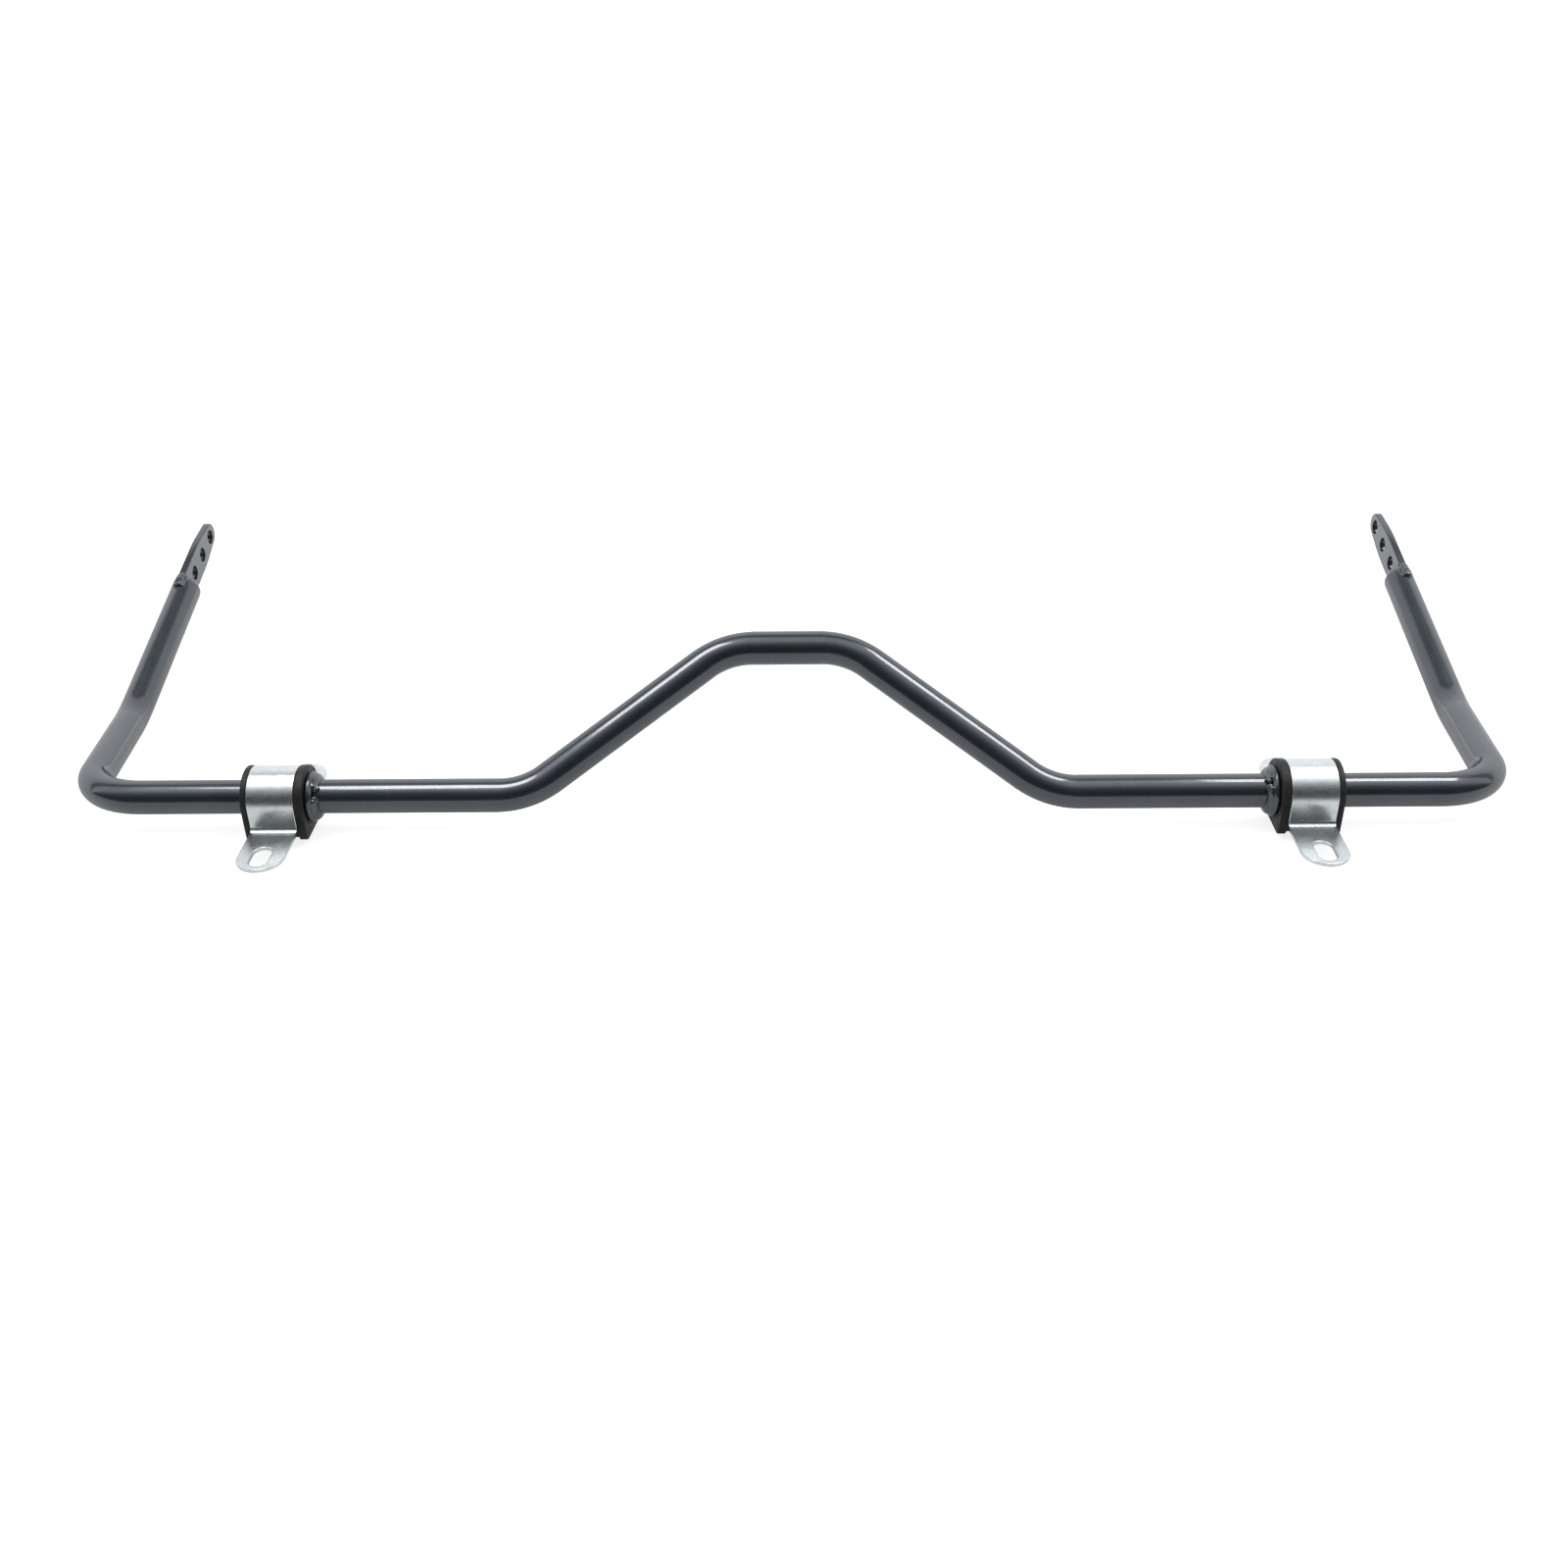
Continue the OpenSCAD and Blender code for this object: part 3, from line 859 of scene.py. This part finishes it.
# Glow of the floor as the camera sees it, and as the bar reflects it from in front of it and from behind it
FLOOR_GLOW_SEEN = 0.8
FLOOR_GLOW_FRONT = 0.45
FLOOR_GLOW_BACK = 1.1
FLOOR_FRONT = 0.15
FLOOR_BACK = 0.7
SOFTBOX_RADIANCE = 13.0
SOFTBOX_DEPTH = 0.75
SOFTBOX_HEIGHT = 2.0
# Name, place across, place back, length and turn in degrees of each softbox
SOFTBOXES = (
    ("left_softbox", -0.78, 0.05, 0.71, 28),
    ("right_softbox", 1.23, 0.41, 0.8, 0),
)
# Brightness of the studio at angles over the bar, in degrees from the front horizon to the back horizon
STUDIO_PEAK = 2.0
STUDIO = [
    (0, 0.05), (27, 0.06), (42, 0.2), (58, 0.6),
    (72, 1.6), (100, 1.6),
    (110, 0.35), (124, 0.35),
    (131, 1.4), (165, 1.4), (180, 1.1),
]


def make_floor():
    """A large pale floor under the lowest point of the model."""
    half = 30.0
    front = -0.6
    level = cad_box[0].z - 0.0002
    mesh = bpy.data.meshes.new("floor")
    corners = [(-half, front, level), (half, front, level), (half, half, level), (-half, half, level)]
    mesh.from_pydata(corners, [], [(0, 1, 2, 3)])
    floor = bpy.data.objects.new("floor", mesh)
    bpy.context.scene.collection.objects.link(floor)
    paper = Nodes("paper", metallic=0, roughness=0.9)
    paper.into("Base Color", paper.ramp(paper.noise(3, detail=3), (0.3, 0.4), (0.7, 0.42)))
    paper.shader.inputs["Emission Color"].default_value = (1, 1, 1, 1)
    path = paper.tree.nodes.new("ShaderNodeLightPath")
    glow = paper.tree.nodes.new("ShaderNodeMapRange")
    glow.inputs["To Max"].default_value = FLOOR_GLOW_SEEN
    split = paper.tree.nodes.new("ShaderNodeSeparateXYZ")
    paper.link(paper.coords, split.inputs[0])
    depth = paper.tree.nodes.new("ShaderNodeMapRange")
    depth.inputs["From Min"].default_value = FLOOR_FRONT
    depth.inputs["From Max"].default_value = FLOOR_BACK
    depth.inputs["To Min"].default_value = FLOOR_GLOW_FRONT
    depth.inputs["To Max"].default_value = FLOOR_GLOW_BACK
    paper.link(split.outputs["Y"], depth.inputs["Value"])
    paper.link(depth.outputs["Result"], glow.inputs["To Min"])
    paper.link(path.outputs["Is Camera Ray"], glow.inputs["Value"])
    paper.into("Emission Strength", glow.outputs["Result"])
    mesh.materials.append(paper.material)


def make_softboxes():
    """Two long boxes over the bar, one to each side, which draw its narrow highlight."""
    for name, across, back, length, turn in SOFTBOXES:
        light = bpy.data.lights.new(name, "AREA")
        light.shape = "RECTANGLE"
        light.size = length
        light.size_y = SOFTBOX_DEPTH
        light.energy = SOFTBOX_RADIANCE * math.pi * light.size * light.size_y
        softbox = bpy.data.objects.new(name, light)
        softbox.location = (across, back, SOFTBOX_HEIGHT)
        softbox.rotation_euler.z = math.radians(turn)
        bpy.context.scene.collection.objects.link(softbox)


def make_world():
    """A studio whose brightness follows the angle over the bar, from the front horizon over to the back.

    It is dark behind the camera, brightens to the ceiling, dims again and ends in a pale backdrop. The
    camera itself sees it pale all round.
    """
    world = bpy.data.worlds.new("studio")
    world.use_nodes = True
    tree = world.node_tree
    nodes, links = tree.nodes, tree.links
    coords = nodes.new("ShaderNodeTexCoord")
    split = nodes.new("ShaderNodeSeparateXYZ")
    links.new(coords.outputs["Generated"], split.inputs[0])
    front = nodes.new("ShaderNodeMath")
    front.operation = "MULTIPLY"
    front.inputs[1].default_value = -1
    links.new(split.outputs["Y"], front.inputs[0])
    angle = nodes.new("ShaderNodeMath")
    angle.operation = "ARCTAN2"
    links.new(split.outputs["Z"], angle.inputs[0])
    links.new(front.outputs[0], angle.inputs[1])
    share = nodes.new("ShaderNodeMapRange")
    share.inputs["From Max"].default_value = math.pi
    links.new(angle.outputs[0], share.inputs["Value"])
    ramp = nodes.new("ShaderNodeValToRGB")
    elements = ramp.color_ramp.elements
    while len(elements) < len(STUDIO):
        elements.new(0.5)
    for element, (degrees, level) in zip(elements, STUDIO):
        element.position = degrees / 180
        grey = level / STUDIO_PEAK
        element.color = (grey * 0.97, grey, grey * 1.03, 1)
    links.new(share.outputs["Result"], ramp.inputs["Fac"])
    path = nodes.new("ShaderNodeLightPath")
    seen = nodes.new("ShaderNodeMix")
    seen.data_type = "RGBA"
    seen.inputs[7].default_value = (1 / STUDIO_PEAK, 1 / STUDIO_PEAK, 1 / STUDIO_PEAK, 1)
    links.new(path.outputs["Is Camera Ray"], seen.inputs["Factor"])
    links.new(ramp.outputs["Color"], seen.inputs[6])
    links.new(seen.outputs[2], nodes["Background"].inputs["Color"])
    nodes["Background"].inputs["Strength"].default_value = STUDIO_PEAK
    bpy.context.scene.world = world


def make_camera():
    """Looks down at the bar from in front, a little from the right."""
    aim = Vector((-0.0025, 0.0036, 0.0060))
    distance = 1.1606
    elevation = math.radians(31.0)
    azimuth = math.radians(-0.906)
    roll = math.radians(-0.831)
    forward = Vector((
        math.sin(azimuth) * math.cos(elevation),
        math.cos(azimuth) * math.cos(elevation),
        -math.sin(elevation),
    ))
    data = bpy.data.cameras.new("camera")
    data.sensor_width = 36
    data.lens = 36
    data.clip_start = 0.05
    data.clip_end = 100
    camera = bpy.data.objects.new("camera", data)
    turn = forward.to_track_quat("-Z", "Y").to_matrix() @ Matrix.Rotation(roll, 3, "Z")
    camera.matrix_world = Matrix.Translation(aim - forward * distance) @ turn.to_4x4()
    bpy.context.scene.collection.objects.link(camera)
    bpy.context.scene.camera = camera


# ---------------------------------------------------------------- the scene

make_bar()
for side_name, sign in SIDES.items():
    make_blade(side_name, sign)
    make_blade_weld(side_name, sign, "upper", 1)
    make_blade_weld(side_name, sign, "lower", -1)
    make_lock_ring(side_name, sign)
    make_ring_weld(side_name, sign, "upper")
    make_ring_weld(side_name, sign, "lower")
    make_bushing(side_name, sign)
    make_bracket(side_name, sign)
make_floor()
make_softboxes()
make_world()
make_camera()
bpy.context.scene.view_settings.view_transform = "Standard"
